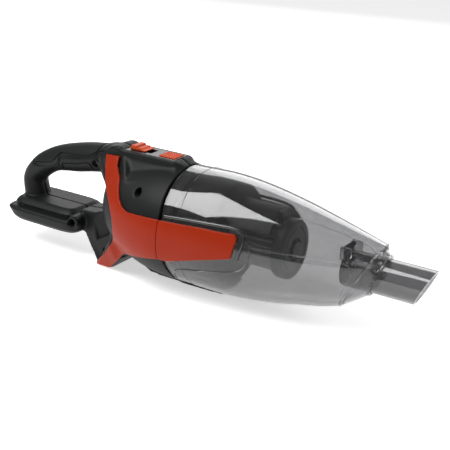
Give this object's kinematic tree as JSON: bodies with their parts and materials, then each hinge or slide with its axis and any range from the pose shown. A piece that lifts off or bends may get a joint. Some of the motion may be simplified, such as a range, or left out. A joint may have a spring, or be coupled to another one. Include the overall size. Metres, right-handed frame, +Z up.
{
  "type": "handheld vacuum",
  "caption": "Cordless handheld vacuum: clamshell motor housing with loop handle and battery foot, clear tapering dust cup with filter, short slanted nozzle.",
  "frame": {"origin": "middle of the bounding box's footprint, on the surface the vacuum stands on", "axes": "+X out of the nozzle, +Y to the left of a person who holds the handle, +Z up"},
  "size_m": [0.4664, 0.125, 0.126],
  "materials": {
    "charcoal_abs": "fine moulded texture, satin",
    "orange_abs": "smooth satin",
    "soft_grip": "soft overmould, matt",
    "black_plastic": "moulded",
    "smoke_clear": "polished, smoke grey clear",
    "filter_paper": "pleated filter medium",
    "rubber": "moulded",
    "spring_steel": "drawn",
    "zinc_steel": "zinc plated",
    "aluminium": "machined",
    "copper": "stamped"
  },
  "bodies": {
    "housing": {"housing_right": "charcoal_abs", "housing_left": "charcoal_abs", "side_panel_right": "orange_abs", "side_panel_left": "orange_abs", "handle_grip": "soft_grip", "console_plate": "charcoal_abs", "release_spring": "spring_steel", "slide_switch": "black_plastic", "cup_seal": "rubber", "fan_shroud": "black_plastic", "motor_can": "zinc_steel", "motor_end_cap": "black_plastic", "front_motor_mount": "rubber", "terminal_block": "black_plastic", "contact_blade_1": "copper", "contact_blade_2": "copper", "contact_blade_3": "copper", "housing_screw_1": "zinc_steel", "housing_screw_2": "zinc_steel", "housing_screw_3": "zinc_steel", "housing_screw_4": "zinc_steel", "housing_screw_5": "zinc_steel"},
    "slider": {"power_slider": "orange_abs"},
    "release": {"release_button": "orange_abs", "latch_tooth": "black_plastic"},
    "cup": {"dust_cup": "smoke_clear", "cup_panel_right": "orange_abs", "cup_panel_left": "orange_abs", "nozzle_tube": "smoke_clear", "inlet_duct": "black_plastic", "flap_pin": "spring_steel"},
    "flap": {"inlet_flap": "rubber"},
    "filter": {"filter_frame": "black_plastic", "filter_pleats": "filter_paper", "filter_cap": "black_plastic", "filter_seal": "rubber"},
    "rotor": {"fan_impeller": "aluminium", "motor_shaft": "spring_steel"}
  },
  "joints": [
    {"name": "power_slide", "type": "slide", "parent": "housing", "child": "slider", "axis": [1, 0, 0], "range_m": [0, 0.006]},
    {"name": "release_press", "type": "slide", "parent": "housing", "child": "release", "axis": [0, 0, -1], "range_m": [0, 0.0025], "stiffness_N_per_m": 800, "springref_m": -0.003, "deforming": ["release_spring"]},
    {"name": "cup_pull", "type": "slide", "parent": "housing", "child": "cup", "axis": [1, 0, 0], "range_m": [0, 0.13]},
    {"name": "flap_swing", "type": "hinge", "parent": "cup", "child": "flap", "pos_m": [0.15165, 0, 0.0765], "axis": [0, 1, 0], "range_deg": [0, 60]},
    {"name": "filter_pull", "type": "slide", "parent": "housing", "child": "filter", "axis": [1, 0, 0], "range_m": [0, 0.015]},
    {"name": "rotor_spin", "type": "hinge", "parent": "housing", "child": "rotor", "pos_m": [-0.03975, 0, 0.0595], "axis": [1, 0, 0], "continuous": true}
  ]
}
